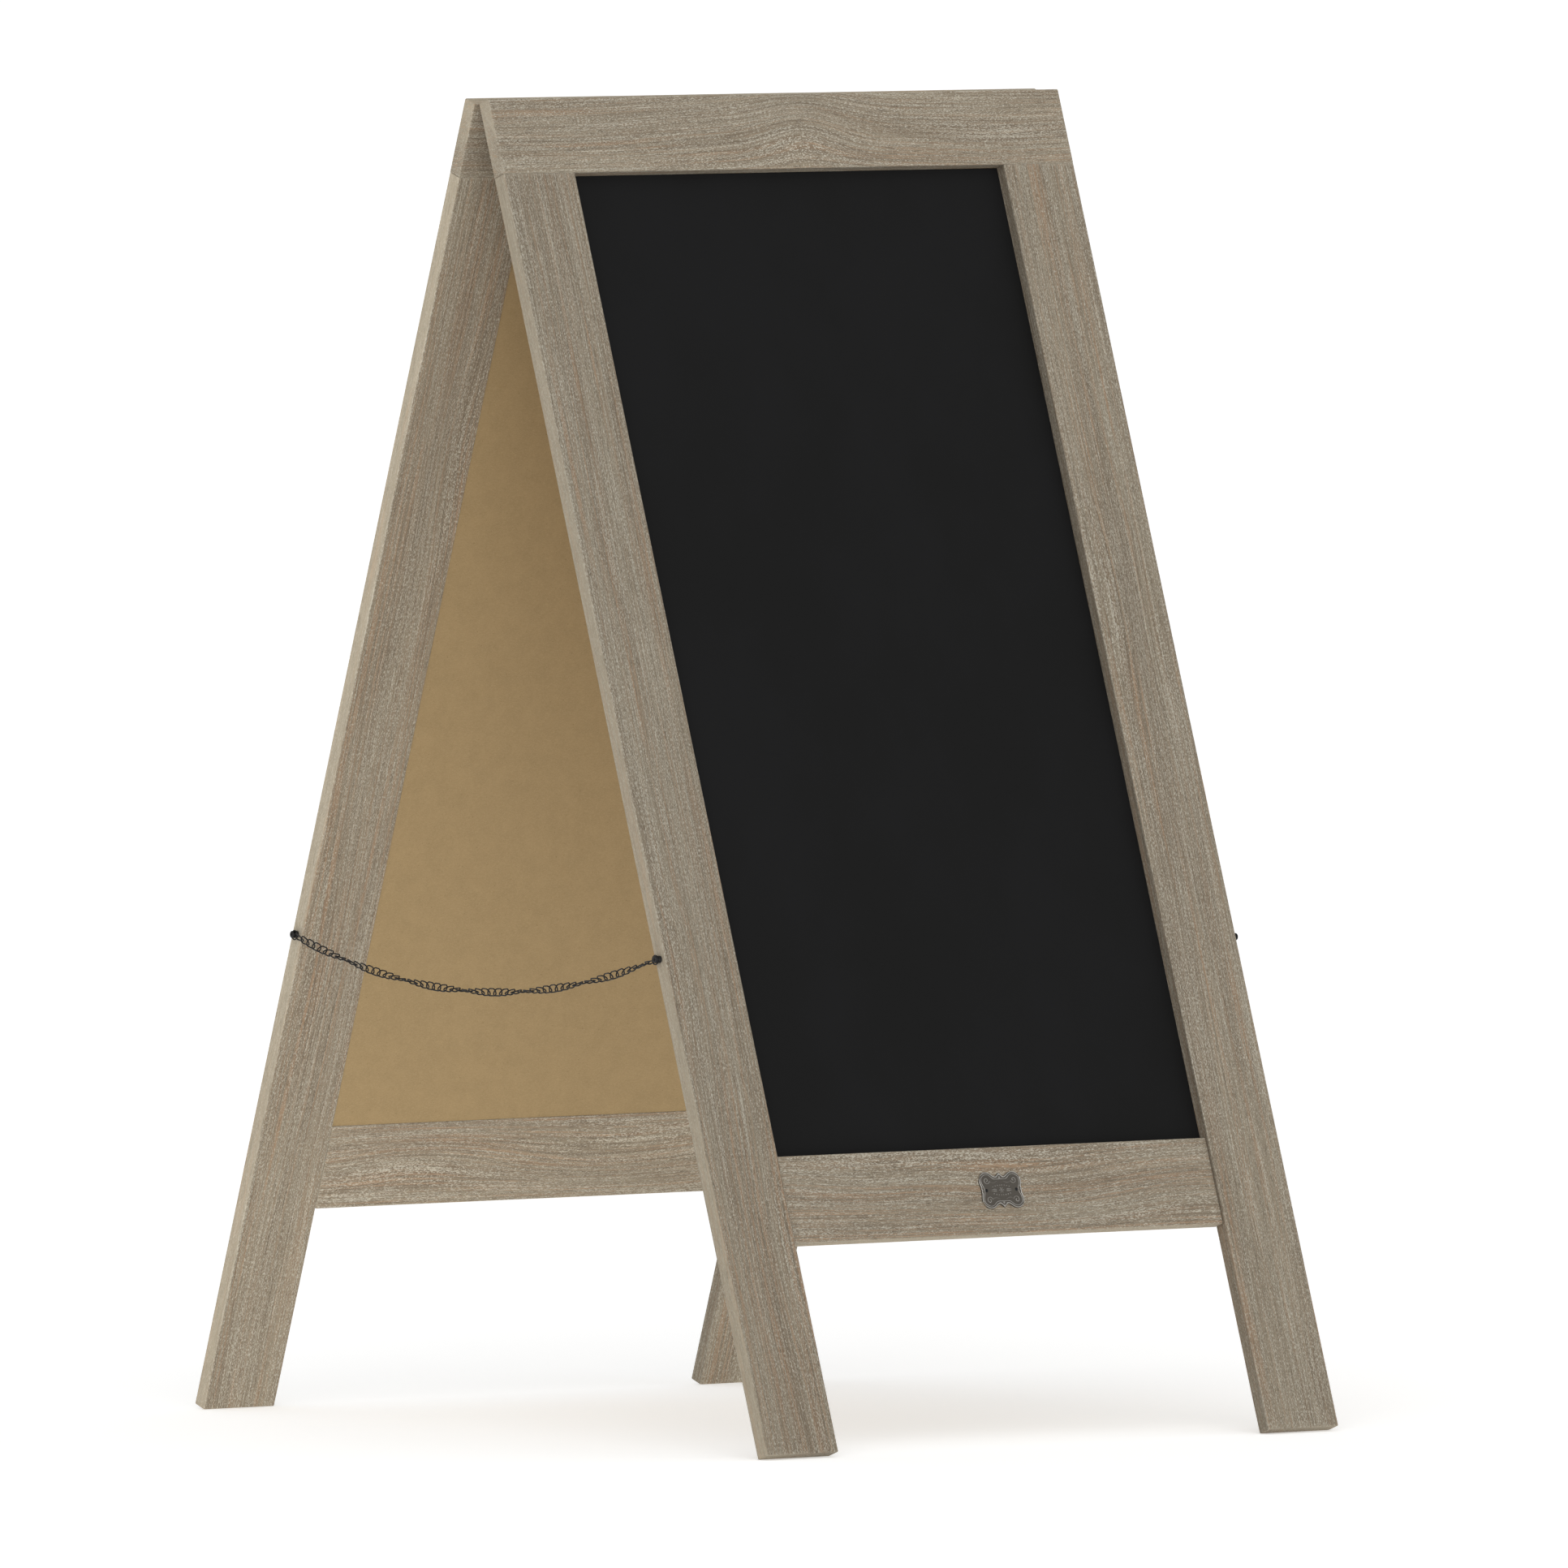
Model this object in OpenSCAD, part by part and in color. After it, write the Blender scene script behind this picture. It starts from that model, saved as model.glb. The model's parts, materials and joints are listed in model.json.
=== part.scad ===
// Double-sided folding chalkboard: two framed boards hinged along their top rails
// and tied at each side by a chain.
// X runs across the boards, the front board faces -Y, and the feet stand on Z = 0.

/* [Frames] */
// Width of each frame
frame_w = 510; // [440:5:600]
// Length of each frame, measured down its slope
frame_l = 1000; // [920:10:1150]
// Thickness of the stiles and the top rails
board_t = 12; // [12:0.5:18]
// Width of each stile
stile_w = 63; // [55:1:80]
// Height of the top rail
top_rail_h = 56; // [50:1:80]
// Height of the bottom rail
bottom_rail_h = 64; // [56:1:80]
// Distance from the top edge down to the bottom rail
bottom_rail_drop = 783; // [700:1:800]
// How far the bottom rail's outer face lies behind the stiles
rail_setback = 2.5; // [0.5:0.5:3]
// Radius of the eased long edges of the boards
ease_r = 1; // [0.5:0.1:1.5]

/* [Stance] */
// Lean of each frame from the vertical, in degrees
lean = 19.1; // [17:0.1:20]
// Half of the gap between the two top edges
half_gap = 2.5; // [2.2:0.1:3]

/* [Panels] */
// Thickness of the thin wooden lip behind each panel
lip_t = 0.8; // [0.6:0.1:1.5]
// Thickness of the hardboard panel
panel_t = 2; // [1.5:0.1:3]
// Thickness of the black writing coat
chalk_t = 0.2; // [0.1:0.1:0.5]
// Depth of the groove around the opening
groove_d = 6; // [4:0.5:8]

/* [Joints] */
// Diameter of the dowels that hold the boards together
dowel_d = 6; // [5:0.5:6]
// Length of the dowels
dowel_l = 40; // [30:2:44]

/* [Hinges] */
// Distance of each hinge from the middle of the top rail
hinge_x = 165; // [120:5:190]
// Length of each hinge
hinge_l = 38; // [30:1:50]
// Drop of the hinge pin below the inner top edges
hinge_drop = 3; // [2.5:0.1:4]
// Thickness of a hinge leaf
leaf_t = 1.2; // [1:0.1:1.5]
// Height of a hinge leaf below its pin
leaf_h = 16; // [14:1:22]
// Diameter of the hinge barrel
barrel_d = 6; // [5.5:0.1:6]
// Diameter of the hinge pin
hinge_pin_d = 3; // [2.5:0.1:3.2]

/* [Chains] */
// Distance of the chain screws from the top edge, down the slope
chain_drop = 635; // [600:5:640]
// Distance from one link to the next
link_pitch = 7.3; // [7.3:0.02:7.4]
// Width of a link
link_w = 6.1; // [5.6:0.1:6.1]
// Diameter of the link wire
link_wire = 0.85; // [0.7:0.05:0.9]
// Outer diameter of the end ring on each screw
ring_d = 6.8; // [6.8:0.1:7]
// Diameter of the chain screws' shanks
screw_d = 2.6; // [2.2:0.1:2.6]
// Diameter of the chain screws' heads and spacers
head_d = 5.2; // [4.8:0.1:5.2]
// Length of the spacers under the end rings
spacer_l = 2.6; // [2.6:0.1:4]

/* [Badge] */
// Width of the badge over its corner lobes
badge_w = 37; // [32:1:42]
// Height of the badge over its corner lobes
badge_h = 27; // [24:1:30]
// Thickness of the badge plate
badge_t = 0.8; // [0.6:0.1:1]
// Height of the badge's raised rim
badge_rim = 0.5; // [0.3:0.1:0.6]

/* [Hidden] */
FRAMES = ["front", "back"];
SIDES = ["left", "right"];
FRAME_PARTS = ["top_rail", "left_stile", "right_stile", "bottom_rail", "panel", "chalk_face",
    "joint_dowels", "hinge_screws", "chain_screws", "chain_spacers"];
HINGE_PARTS = ["front_leaf", "back_leaf", "pin"];
// links in each rigid run of a chain, from the front screw to the back one
RUNS = [7, 7, 7, 7, 1, 1, 1, 7, 7, 7, 7];

WOOD = [0.63, 0.58, 0.51];
HARDBOARD = [0.6, 0.52, 0.38];
CHALK_BLACK = [0.12, 0.12, 0.12];
BEECH = [0.8, 0.66, 0.48];
BLACK_METAL = [0.13, 0.13, 0.14];
STEEL = [0.55, 0.55, 0.56];
PEWTER = [0.42, 0.41, 0.38];

$fn = 48;
fit_gap = 0.02;
cut = 1;

// frames: each is drawn upright, top inner edge on the X axis, outer face towards -Y
top_z = frame_l * cos(lean);
open_w = frame_w - 2 * stile_w;
rail_t = board_t - rail_setback;
stile_x = (frame_w - stile_w) / 2;
panel_front = lip_t + panel_t;

// dowels
dowel_spread = 28;
rail_dowel_z = [20, 44];
hole_spare = 0.5;

// hinges: the pin's place in a frame's own coordinates
pin_y = half_gap * cos(lean) + hinge_drop * sin(lean);
pin_z = half_gap * sin(lean) - hinge_drop * cos(lean);
knuckle_gap = 0.2;
knuckle_l = (hinge_l - 2 * knuckle_gap) / 3;
pin_head_d = 4.4;
pin_head_t = 0.6;
pin_clear = 0.05;
hinge_screw_d = 2.6;
hinge_screw_l = 10;
hinge_screw_head_d = 5.2;
hinge_screw_x = 11;
hinge_screw_z = -10.5;

// chain screws
ring_slot = 1.2;
head_t = 1.2;
chain_screw_l = 15;
chain_screw_y = -board_t / 2;
chain_x = frame_w / 2 + spacer_l + ring_slot / 2;

// chains: a catenary in a plane of constant x between the two screws
anchor_y = half_gap + chain_drop * sin(lean) - chain_screw_y * cos(lean);
anchor_z = top_z - chain_drop * cos(lean) - chain_screw_y * sin(lean);
link_total = sum(RUNS, 0);
mid_link = (link_total + 1) / 2;
half_chain = (link_total + 1) * link_pitch / 2;
link_slack = 0.1;
link_half = (link_pitch + link_slack + link_wire) / 2;
bend_r = (link_w - link_wire) / 2;
ring_r = (ring_d - link_wire) / 2;
ring_offset = ring_r - link_wire / 2 - screw_d / 2 - 0.05;
curve_a = curve_scale(100, 5000, 40);

// badge
pin_spread = 26.6;
badge_pin_d = 1.4;
badge_pin_head_d = 2.4;
badge_pin_l = 8;
badge_drop = bottom_rail_drop + bottom_rail_h / 2;
lobe_r = 6;
rim_w = 1.3;

function sum(list, i) = i >= len(list) ? 0 : list[i] + sum(list, i + 1);
function asinh(u) = ln(u + sqrt(u * u + 1));
function half_span(a) = a * asinh(half_chain / a);
// the catenary's scale, found by halving the interval until it spans the two screws
function curve_scale(lo, hi, steps) =
    steps == 0 ? (lo + hi) / 2
    : half_span((lo + hi) / 2) > anchor_y ? curve_scale(lo, (lo + hi) / 2, steps - 1)
    : curve_scale((lo + hi) / 2, hi, steps - 1);
function lowest_z() = anchor_z - (sqrt(curve_a * curve_a + half_chain * half_chain) - curve_a);
// point and slope of the chain at arc length s from its lowest point
function chain_y(s) = curve_a * asinh(s / curve_a);
function chain_z(s) = lowest_z() + sqrt(curve_a * curve_a + s * s) - curve_a;
function chain_slope(s) = atan(s / curve_a);
function links_before(run) = run == 0 ? 0 : RUNS[run - 1] + links_before(run - 1);

// ---------------------------------------------------------------- placing

// moves a frame's own coordinates to its leaning place
module place_frame(f) {
    mirror([0, f == "back" ? 1 : 0, 0])
        translate([0, -half_gap, top_z])
        rotate([-lean, 0, 0])
        children();
}

// moves children drawn along the hinge axis to a hinge
module place_hinge(s) {
    translate([side(s) * hinge_x, pin_y, pin_z])
        rotate([0, 90, 0])
        children();
}

// moves children drawn along +Z to a chain screw, with Z = 0 on the stile's side face
module place_screw(s) {
    translate([side(s) * frame_w / 2, chain_screw_y, -chain_drop])
        rotate([0, side(s) * 90, 0])
        children();
}

function side(s) = s == "left" ? -1 : 1;

// ---------------------------------------------------------------- boards

function corner(w, t, sx, sy, from) = [for (a = [0 : 18 : 90])
    [sx * (w / 2 - ease_r), sy * (t / 2 - ease_r)] + ease_r * [cos(from + a), sin(from + a)]];

// cross-section of a board with eased edges, its inner face on Y = 0
module board_section(w, t) {
    translate([0, -t / 2])
        polygon(concat(corner(w, t, 1, 1, 0), corner(w, t, -1, 1, 90),
            corner(w, t, -1, -1, 180), corner(w, t, 1, -1, 270)));
}

// a board lying along X, its top edge on Z = 0
module rail(l, h, t) {
    translate([-l / 2, 0, -h / 2])
        rotate([0, 90, 0])
        linear_extrude(l)
        board_section(h, t);
}

// the grooves for the panel's edges
module panel_space() {
    translate([-open_w / 2 - groove_d, -panel_front - chalk_t / 2, -bottom_rail_drop - groove_d])
        cube([open_w + 2 * groove_d, panel_t + chalk_t / 2,
            bottom_rail_drop - top_rail_h + 2 * groove_d]);
}

// all the dowels of one frame, or their holes
module dowels(d, l) {
    for (s = [-1, 1]) {
        for (x = [-dowel_spread / 2, dowel_spread / 2])
            translate([s * stile_x + x, -board_t / 2, -top_rail_h])
                cylinder(h = l, d = d, center = true);
        for (z = rail_dowel_z)
            translate([s * open_w / 2, -rail_t / 2, -bottom_rail_drop - z])
                rotate([0, 90, 0])
                cylinder(h = l, d = d, center = true);
    }
}

module dowel_holes() {
    dowels(dowel_d + 2 * fit_gap, dowel_l + 2 * hole_spare);
}

module top_rail() {
    color(WOOD)
    difference() {
        rail(frame_w, top_rail_h, board_t);
        panel_space();
        dowel_holes();
        for (s = SIDES)
            place_hinge(s)
                hinge_screw_places()
                hinge_screw_hole(0);
    }
}

module stile(s) {
    color(WOOD)
    difference() {
        translate([side(s) * stile_x, 0, -frame_l])
            linear_extrude(frame_l - top_rail_h)
            board_section(stile_w, board_t);
        panel_space();
        dowel_holes();
        place_screw(s)
            translate([0, 0, -chain_screw_l - hole_spare])
            cylinder(h = chain_screw_l + hole_spare + cut, d = screw_d + 2 * fit_gap);
    }
}

module bottom_rail(f) {
    color(WOOD)
    difference() {
        translate([0, 0, -bottom_rail_drop])
            rail(open_w, bottom_rail_h, rail_t);
        panel_space();
        dowel_holes();
        if (f == "front")
            badge_pin_places()
                translate([0, 0, -badge_pin_l - hole_spare])
                cylinder(h = badge_pin_l + hole_spare + cut, d = badge_pin_d + 2 * fit_gap);
    }
}

module panel() {
    edge = groove_d - hole_spare;
    color(HARDBOARD)
    translate([-open_w / 2 - edge, -panel_front, -bottom_rail_drop - edge])
        cube([open_w + 2 * edge, panel_t, bottom_rail_drop - top_rail_h + 2 * edge]);
}

module chalk_face() {
    color(CHALK_BLACK)
    translate([-open_w / 2, -panel_front - chalk_t, -bottom_rail_drop])
        cube([open_w, chalk_t, bottom_rail_drop - top_rail_h]);
}

module joint_dowels() {
    color(BEECH)
    dowels(dowel_d, dowel_l);
}

// ---------------------------------------------------------------- hinges

// the two screws of a leaf, each drawn with its axis along +Z, out of the leaf's outer face
module hinge_screw_places() {
    for (x = [-hinge_screw_x, hinge_screw_x])
        translate([-hinge_screw_z + pin_z, leaf_t - pin_y, x])
            rotate([-90, 0, 0])
            children();
}

// a countersunk hole, or the space in the wood behind it
module hinge_screw_hole(gap) {
    shank_r = hinge_screw_d / 2 + fit_gap + gap;
    head_r = hinge_screw_head_d / 2 + gap;
    depth = hinge_screw_l + hole_spare;
    rotate_extrude()
        polygon([[0, -depth], [shank_r, -depth], [shank_r, -leaf_t], [head_r, 0], [head_r, cut], [0, cut]]);
}

module hinge_screw() {
    difference() {
        rotate_extrude()
            polygon([[0, -hinge_screw_l], [hinge_screw_d / 2, -hinge_screw_l + 3],
                [hinge_screw_d / 2, -leaf_t], [hinge_screw_head_d / 2 - 0.1, -0.1],
                [hinge_screw_head_d / 2 - 0.1, 0], [0, 0]]);
        cross_recess(0.5);
    }
}

// a cross-head recess, cut down from Z = 0
module cross_recess(size) {
    for (turn = [0, 90])
        rotate([0, 0, turn])
            translate([-size * 2.6, -size / 2, -size * 1.4])
            cube([size * 5.2, size, size * 1.4 + cut]);
}

module hinge_screws() {
    color(STEEL)
    for (s = SIDES)
        place_hinge(s)
            hinge_screw_places()
            hinge_screw();
}

// start of each knuckle along the barrel
function knuckle_z(i) = -hinge_l / 2 + i * (knuckle_l + knuckle_gap);

// a leaf with its own knuckles: the front leaf has the outer two, the back leaf the middle one
module hinge_leaf(f) {
    own = f == "front" ? [0, 2] : [1];
    others = f == "front" ? [1] : [0, 2];
    color(STEEL)
    difference() {
        union() {
            translate([0, -pin_y, -hinge_l / 2])
                cube([leaf_h, leaf_t, hinge_l]);
            for (i = own)
                translate([0, 0, knuckle_z(i)])
                    cylinder(h = knuckle_l, d = barrel_d);
        }
        for (i = others)
            translate([0, 0, knuckle_z(i) - knuckle_gap])
                cylinder(h = knuckle_l + 2 * knuckle_gap, d = barrel_d + 4 * knuckle_gap);
        translate([0, 0, -hinge_l])
            cylinder(h = 2 * hinge_l, d = hinge_pin_d + 2 * pin_clear);
        hinge_screw_places()
            hinge_screw_hole(pin_clear);
    }
}

module hinge_pin() {
    color(STEEL) {
        cylinder(h = hinge_l + 2 * pin_head_t, d = hinge_pin_d, center = true);
        for (end = [-1, 1])
            translate([0, 0, end * (hinge_l + pin_head_t + knuckle_gap) / 2])
                cylinder(h = pin_head_t, d = pin_head_d, center = true);
    }
}

// ---------------------------------------------------------------- chains

module chain_screw() {
    head_z = spacer_l + ring_slot;
    difference() {
        rotate_extrude()
            polygon([[0, -chain_screw_l], [screw_d / 2, -chain_screw_l + 3], [screw_d / 2, head_z],
                [head_d / 2, head_z], [head_d / 2, head_z + head_t - 0.5],
                [head_d / 2 - 0.5, head_z + head_t - 0.1], [head_d / 4, head_z + head_t],
                [0, head_z + head_t]]);
        translate([0, 0, head_z + head_t])
            cross_recess(0.5);
    }
}

// a ribbed tube between the wood and the end ring
module chain_spacer() {
    bore_r = screw_d / 2 + pin_clear;
    rib = spacer_l / 3;
    rotate_extrude()
        polygon(concat([[bore_r, spacer_l], [bore_r, 0]],
            [for (i = [0 : 2], p = [[0.2, 0.05], [0, 0.3], [0, 0.7], [0.2, 0.95]])
                [head_d / 2 - p[0], (i + p[1]) * rib]],
            [[head_d / 2 - 0.2, spacer_l]]));
}

module chain_screws() {
    color(BLACK_METAL)
    for (s = SIDES)
        place_screw(s)
            chain_screw();
}

module chain_spacers() {
    color(BLACK_METAL)
    for (s = SIDES)
        place_screw(s)
            chain_spacer();
}

// one link: two half rings joined by two straight wires, lying in the YZ plane along Y
module link() {
    straight = link_half - bend_r;
    for (end = [0, 180])
        rotate([end, 0, 0])
            translate([0, straight, 0])
            rotate([0, -90, 0])
            rotate_extrude(angle = 180)
            translate([bend_r, 0])
            circle(d = link_wire);
    for (z = [-bend_r, bend_r])
        translate([0, 0, z])
            rotate([90, 0, 0])
            cylinder(h = 2 * straight, d = link_wire, center = true);
}

module end_ring() {
    rotate([0, 90, 0])
        rotate_extrude()
        translate([ring_r, 0])
        circle(d = link_wire);
}

// a rigid run of links, every other one turned on edge, with the end ring on the outer runs
module chain_run(s, run) {
    first = links_before(run) + 1;
    color(BLACK_METAL)
    translate([side(s) * chain_x, 0, 0]) {
        for (k = [first : first + RUNS[run] - 1])
            let (at = (k - mid_link) * link_pitch)
            translate([0, chain_y(at), chain_z(at)])
                rotate([chain_slope(at), 0, 0])
                rotate([0, k % 2 == 1 ? 90 : 0, 0])
                link();
        if (run == 0 || run == len(RUNS) - 1)
            let (end = run == 0 ? -1 : 1, slope = chain_slope(half_chain))
            translate([0, end * (anchor_y - ring_offset * cos(slope)), anchor_z - ring_offset * sin(slope)])
                end_ring();
    }
}

// ---------------------------------------------------------------- badge

// places on the bottom rail's outer face, with +Z out of the face and +Y up the slope
module place_badge() {
    translate([0, -rail_t, -badge_drop])
        rotate([90, 0, 0])
        children();
}

module badge_pin_places() {
    place_badge()
        for (x = [-pin_spread / 2, pin_spread / 2])
            translate([x, 0, 0])
                children();
}

// four corner lobes around a body, with small points at the middles of the sides
module badge_outline(inset) {
    square([badge_w - lobe_r - 2 * inset, badge_h - lobe_r * 1.3 - 2 * inset], center = true);
    for (sx = [-1, 1], sy = [-1, 1])
        translate([sx * (badge_w / 2 - lobe_r), sy * (badge_h / 2 - lobe_r)])
            circle(r = lobe_r - inset);
    for (sx = [-1, 1])
        translate([sx * (badge_w / 2 - 3), 0])
            circle(r = 2.4 - inset);
    for (sy = [-1, 1])
        translate([0, sy * (badge_h / 2 - 2.6)])
            circle(r = 2.6 - inset);
}

module badge() {
    color(PEWTER)
    place_badge()
        difference() {
            union() {
                linear_extrude(badge_t)
                    badge_outline(0);
                linear_extrude(badge_t + badge_rim)
                    difference() {
                        badge_outline(0);
                        badge_outline(rim_w);
                    }
            }
            for (x = [-pin_spread / 2, pin_spread / 2])
                translate([x, 0, 0]) {
                    translate([0, 0, -cut])
                        cylinder(h = badge_t + 2 * cut, d = badge_pin_d + 4 * pin_clear);
                    translate([0, 0, badge_t])
                        cylinder(h = badge_rim + cut, d = badge_pin_head_d + 4 * pin_clear);
                }
        }
}

module badge_pins() {
    color(BLACK_METAL)
    badge_pin_places()
        rotate_extrude()
        polygon([[0, -badge_pin_l], [badge_pin_d / 2, -badge_pin_l + 2], [badge_pin_d / 2, badge_t],
            [badge_pin_head_d / 2, badge_t], [badge_pin_head_d / 2 - 0.3, badge_t + 0.35],
            [badge_pin_head_d / 6, badge_t + 0.5], [0, badge_t + 0.5]]);
}

// ---------------------------------------------------------------- nodes

for (f = FRAMES) {
    place_frame(f) top_rail();
    place_frame(f) stile("left");
    place_frame(f) stile("right");
    place_frame(f) bottom_rail(f);
    place_frame(f) panel();
    place_frame(f) chalk_face();
    place_frame(f) joint_dowels();
    place_frame(f) hinge_screws();
    place_frame(f) chain_screws();
    place_frame(f) chain_spacers();
}
place_frame("front") badge();
place_frame("front") badge_pins();
for (s = SIDES) {
    place_frame("front") place_hinge(s) hinge_leaf("front");
    place_frame("back") place_hinge(s) hinge_leaf("back");
    place_frame("front") place_hinge(s) hinge_pin();
    for (i = [0 : len(RUNS) - 1])
        chain_run(s, i);
}
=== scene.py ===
"""Looks for the double-sided folding chalkboard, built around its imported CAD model.

Lengths are in metres, and in millimetres where a comment says so. Each wooden board is remade as a fine
mesh with its own grain, each chain as twisted links, and the badge as a relief. Every other CAD node keeps
its shape.
"""

import json
import math
from collections import namedtuple

import bmesh
import bpy
import numpy as np
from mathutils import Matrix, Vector


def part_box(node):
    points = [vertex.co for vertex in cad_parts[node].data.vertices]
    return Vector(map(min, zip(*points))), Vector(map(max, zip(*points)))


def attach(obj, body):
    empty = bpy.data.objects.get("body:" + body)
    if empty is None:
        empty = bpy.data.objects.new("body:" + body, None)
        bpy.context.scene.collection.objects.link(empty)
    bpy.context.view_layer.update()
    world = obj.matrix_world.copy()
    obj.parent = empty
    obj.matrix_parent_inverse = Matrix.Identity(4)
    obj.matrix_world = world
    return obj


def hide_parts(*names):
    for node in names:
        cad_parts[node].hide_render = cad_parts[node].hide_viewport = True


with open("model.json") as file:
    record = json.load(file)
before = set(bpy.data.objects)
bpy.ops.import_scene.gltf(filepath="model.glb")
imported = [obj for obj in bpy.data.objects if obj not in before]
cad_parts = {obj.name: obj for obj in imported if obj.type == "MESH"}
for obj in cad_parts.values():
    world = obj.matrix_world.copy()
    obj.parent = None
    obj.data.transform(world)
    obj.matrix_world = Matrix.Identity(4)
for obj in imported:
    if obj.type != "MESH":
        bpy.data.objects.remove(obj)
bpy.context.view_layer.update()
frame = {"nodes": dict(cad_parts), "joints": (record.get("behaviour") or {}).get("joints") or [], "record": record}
NODES = frame["nodes"]
RECORD = frame["record"]
MM = 0.001
SIDES = ("front", "back")
HANDS = ("left", "right")

# boards
EASE = 1.0 * MM             # radius of the long edges
TIGHT_EASE = 0.3 * MM       # radius where two boards butt together
END_EASE = 0.8 * MM         # rounding of sawn ends
RAIL_END_EASE = 1.2 * MM    # rounding of the bottom rail's ends
STEP_ACROSS = 0.8 * MM
STEP_ALONG = 2.6 * MM
CORNER_STEPS = 4
FIT = 0.03 * MM             # clearance of everything that is let into the wood
RELIEF = 0.2 * MM           # depth of the brushed grain
GROOVE_SPACING = 4.4        # between the deeper growth rings, in millimetres
SHARP = math.radians(35)    # an edge that turns more than this stays crisp

# chains
LINK_PITCH = 7.3 * MM
LINK_WIDTH = 6.1 * MM
LINK_WIRE = 0.97 * MM
LINK_HALF = 4.7 * MM        # half the length of a link's centre line
LINK_TWIST = math.radians(-28)
ROLL_PER_LINK = math.radians(17.8)
TUBE_SIDES = 10
LINKS_IN_RUNS = (7, 7, 7, 7, 1, 1, 1, 7, 7, 7, 7)
EDGE_ON_AT = 13.3 * MM      # where a link lies on edge, as seen from the side
RING_OUTER = 7.4 * MM
RING_OFFSET = 1.35 * MM     # the end ring hangs this far off its screw's axis

# badge
BADGE_WIDTH = 37 * MM
BADGE_HEIGHT = 27 * MM
BADGE_BASE = 0.8 * MM
BADGE_RELIEF = 0.5 * MM
BADGE_RAYS = 420
BADGE_ROUNDING = 0.35 * MM
PIN_SPREAD = 26.6 * MM
PIN_CLEARANCE = 1.5         # radius of the flat round each pin, in millimetres


# ---------------------------------------------------------------- repeatable noise

def lattice(x, y, seed):
    """A repeatable number from -1 to 1 for each pair of whole numbers."""
    n = (x * 374761393 + y * 668265263 + seed * 974634777) & 0xFFFFFFFF
    n = ((n ^ (n >> 13)) * 1274126177) & 0xFFFFFFFF
    return ((n ^ (n >> 16)) & 0xFFFF) / 32767.5 - 1


def noise(x, y, seed):
    """Smooth noise from -1 to 1 with one bump per unit."""
    ix, iy = np.floor(x).astype(np.int64), np.floor(y).astype(np.int64)
    fx, fy = x - ix, y - iy
    fx, fy = fx * fx * (3 - 2 * fx), fy * fy * (3 - 2 * fy)
    low = lattice(ix, iy, seed) * (1 - fx) + lattice(ix + 1, iy, seed) * fx
    high = lattice(ix, iy + 1, seed) * (1 - fx) + lattice(ix + 1, iy + 1, seed) * fx
    return low * (1 - fy) + high * fy


# ---------------------------------------------------------------- frames and meshes

def frame_axes(side):
    """Unit vectors of a leaning frame: across it, up its slope, and out of its writing face."""
    mount = next(m for m in RECORD["mounts"] if m["name"] == f"{side}_writing_face")
    out = np.array(mount["axis"])
    facing = math.copysign(1, out[1])
    up = np.array([0, -facing * out[2], facing * out[1]])
    return np.cross(up, out), up, out


def grain_axes(side, part):
    """Rows that turn a place into (along the grain, across it, out of the outer face)."""
    across, up, out = frame_axes(side)
    return np.array([across, up, out] if "rail" in part else [up, -across, out])


def positions(mesh):
    co = np.empty(len(mesh.vertices) * 3)
    mesh.vertices.foreach_get("co", co)
    return co.reshape(-1, 3)


def add_mesh(name, points, faces, material):
    mesh = bpy.data.meshes.new(name)
    mesh.from_pydata([tuple(p) for p in points], [], faces)
    mesh.materials.append(material)
    piece = bpy.data.objects.new(name, mesh)
    bpy.context.scene.collection.objects.link(piece)
    return piece


def smooth(piece):
    piece.data.shade_smooth()
    piece.data.set_sharp_from_angle(angle=SHARP)


def put_attribute(mesh, name, kind, values):
    field = "vector" if kind == "FLOAT_VECTOR" else "value"
    layer = mesh.attributes.new(name, kind, "POINT")
    layer.data.foreach_set(field, np.asarray(values, np.float32).ravel())


def grid_faces(rows, columns, start=0):
    """Quads between closed rings of points, each ring holding `columns` points."""
    i, j = np.meshgrid(np.arange(rows - 1), np.arange(columns), indexing="ij")
    after = (j + 1) % columns
    here, above = i * columns, (i + 1) * columns
    quads = np.stack([here + j, here + after, above + after, above + j], -1)
    return (quads.reshape(-1, 4) + start).tolist()


def cutter(node):
    """A slightly fatter copy of a CAD node, closed, for cutting its place out of the wood."""
    mesh = NODES[node].data.copy()
    work = bmesh.new()
    work.from_mesh(mesh)
    bmesh.ops.remove_doubles(work, verts=work.verts, dist=1e-6)
    bmesh.ops.recalc_face_normals(work, faces=work.faces)
    work.normal_update()
    for vertex in work.verts:
        vertex.co += vertex.normal * FIT * vertex.calc_shell_factor()
    work.to_mesh(mesh)
    work.free()
    piece = bpy.data.objects.new(f"cutter_{node}", mesh)
    bpy.context.scene.collection.objects.link(piece)
    return piece


def cut(piece, nodes):
    """Cuts the CAD nodes' places out of a mesh."""
    tools = [cutter(node) for node in nodes]
    for tool in tools:
        modifier = piece.modifiers.new(tool.name, "BOOLEAN")
        modifier.operation = "DIFFERENCE"
        modifier.solver = "MANIFOLD"
        modifier.object = tool
    bpy.context.view_layer.update()
    graph = bpy.context.evaluated_depsgraph_get()
    result = bpy.data.meshes.new_from_object(piece.evaluated_get(graph))
    piece.modifiers.clear()
    old, piece.data = piece.data, result
    bpy.data.meshes.remove(old)
    for tool in tools:
        bpy.data.meshes.remove(tool.data)


# ---------------------------------------------------------------- grain

# a place where the growth rings bend aside, in millimetres from the board's middle
Swirl = namedtuple("Swirl", "along across reach_along reach_across shift")


def near(swirl, u, a):
    """1 at the swirl's centre, falling to 0 around it."""
    along = (u - swirl.along) / swirl.reach_along
    across = (a - swirl.across) / swirl.reach_across
    return np.exp(-along ** 2 - across ** 2)


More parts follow.
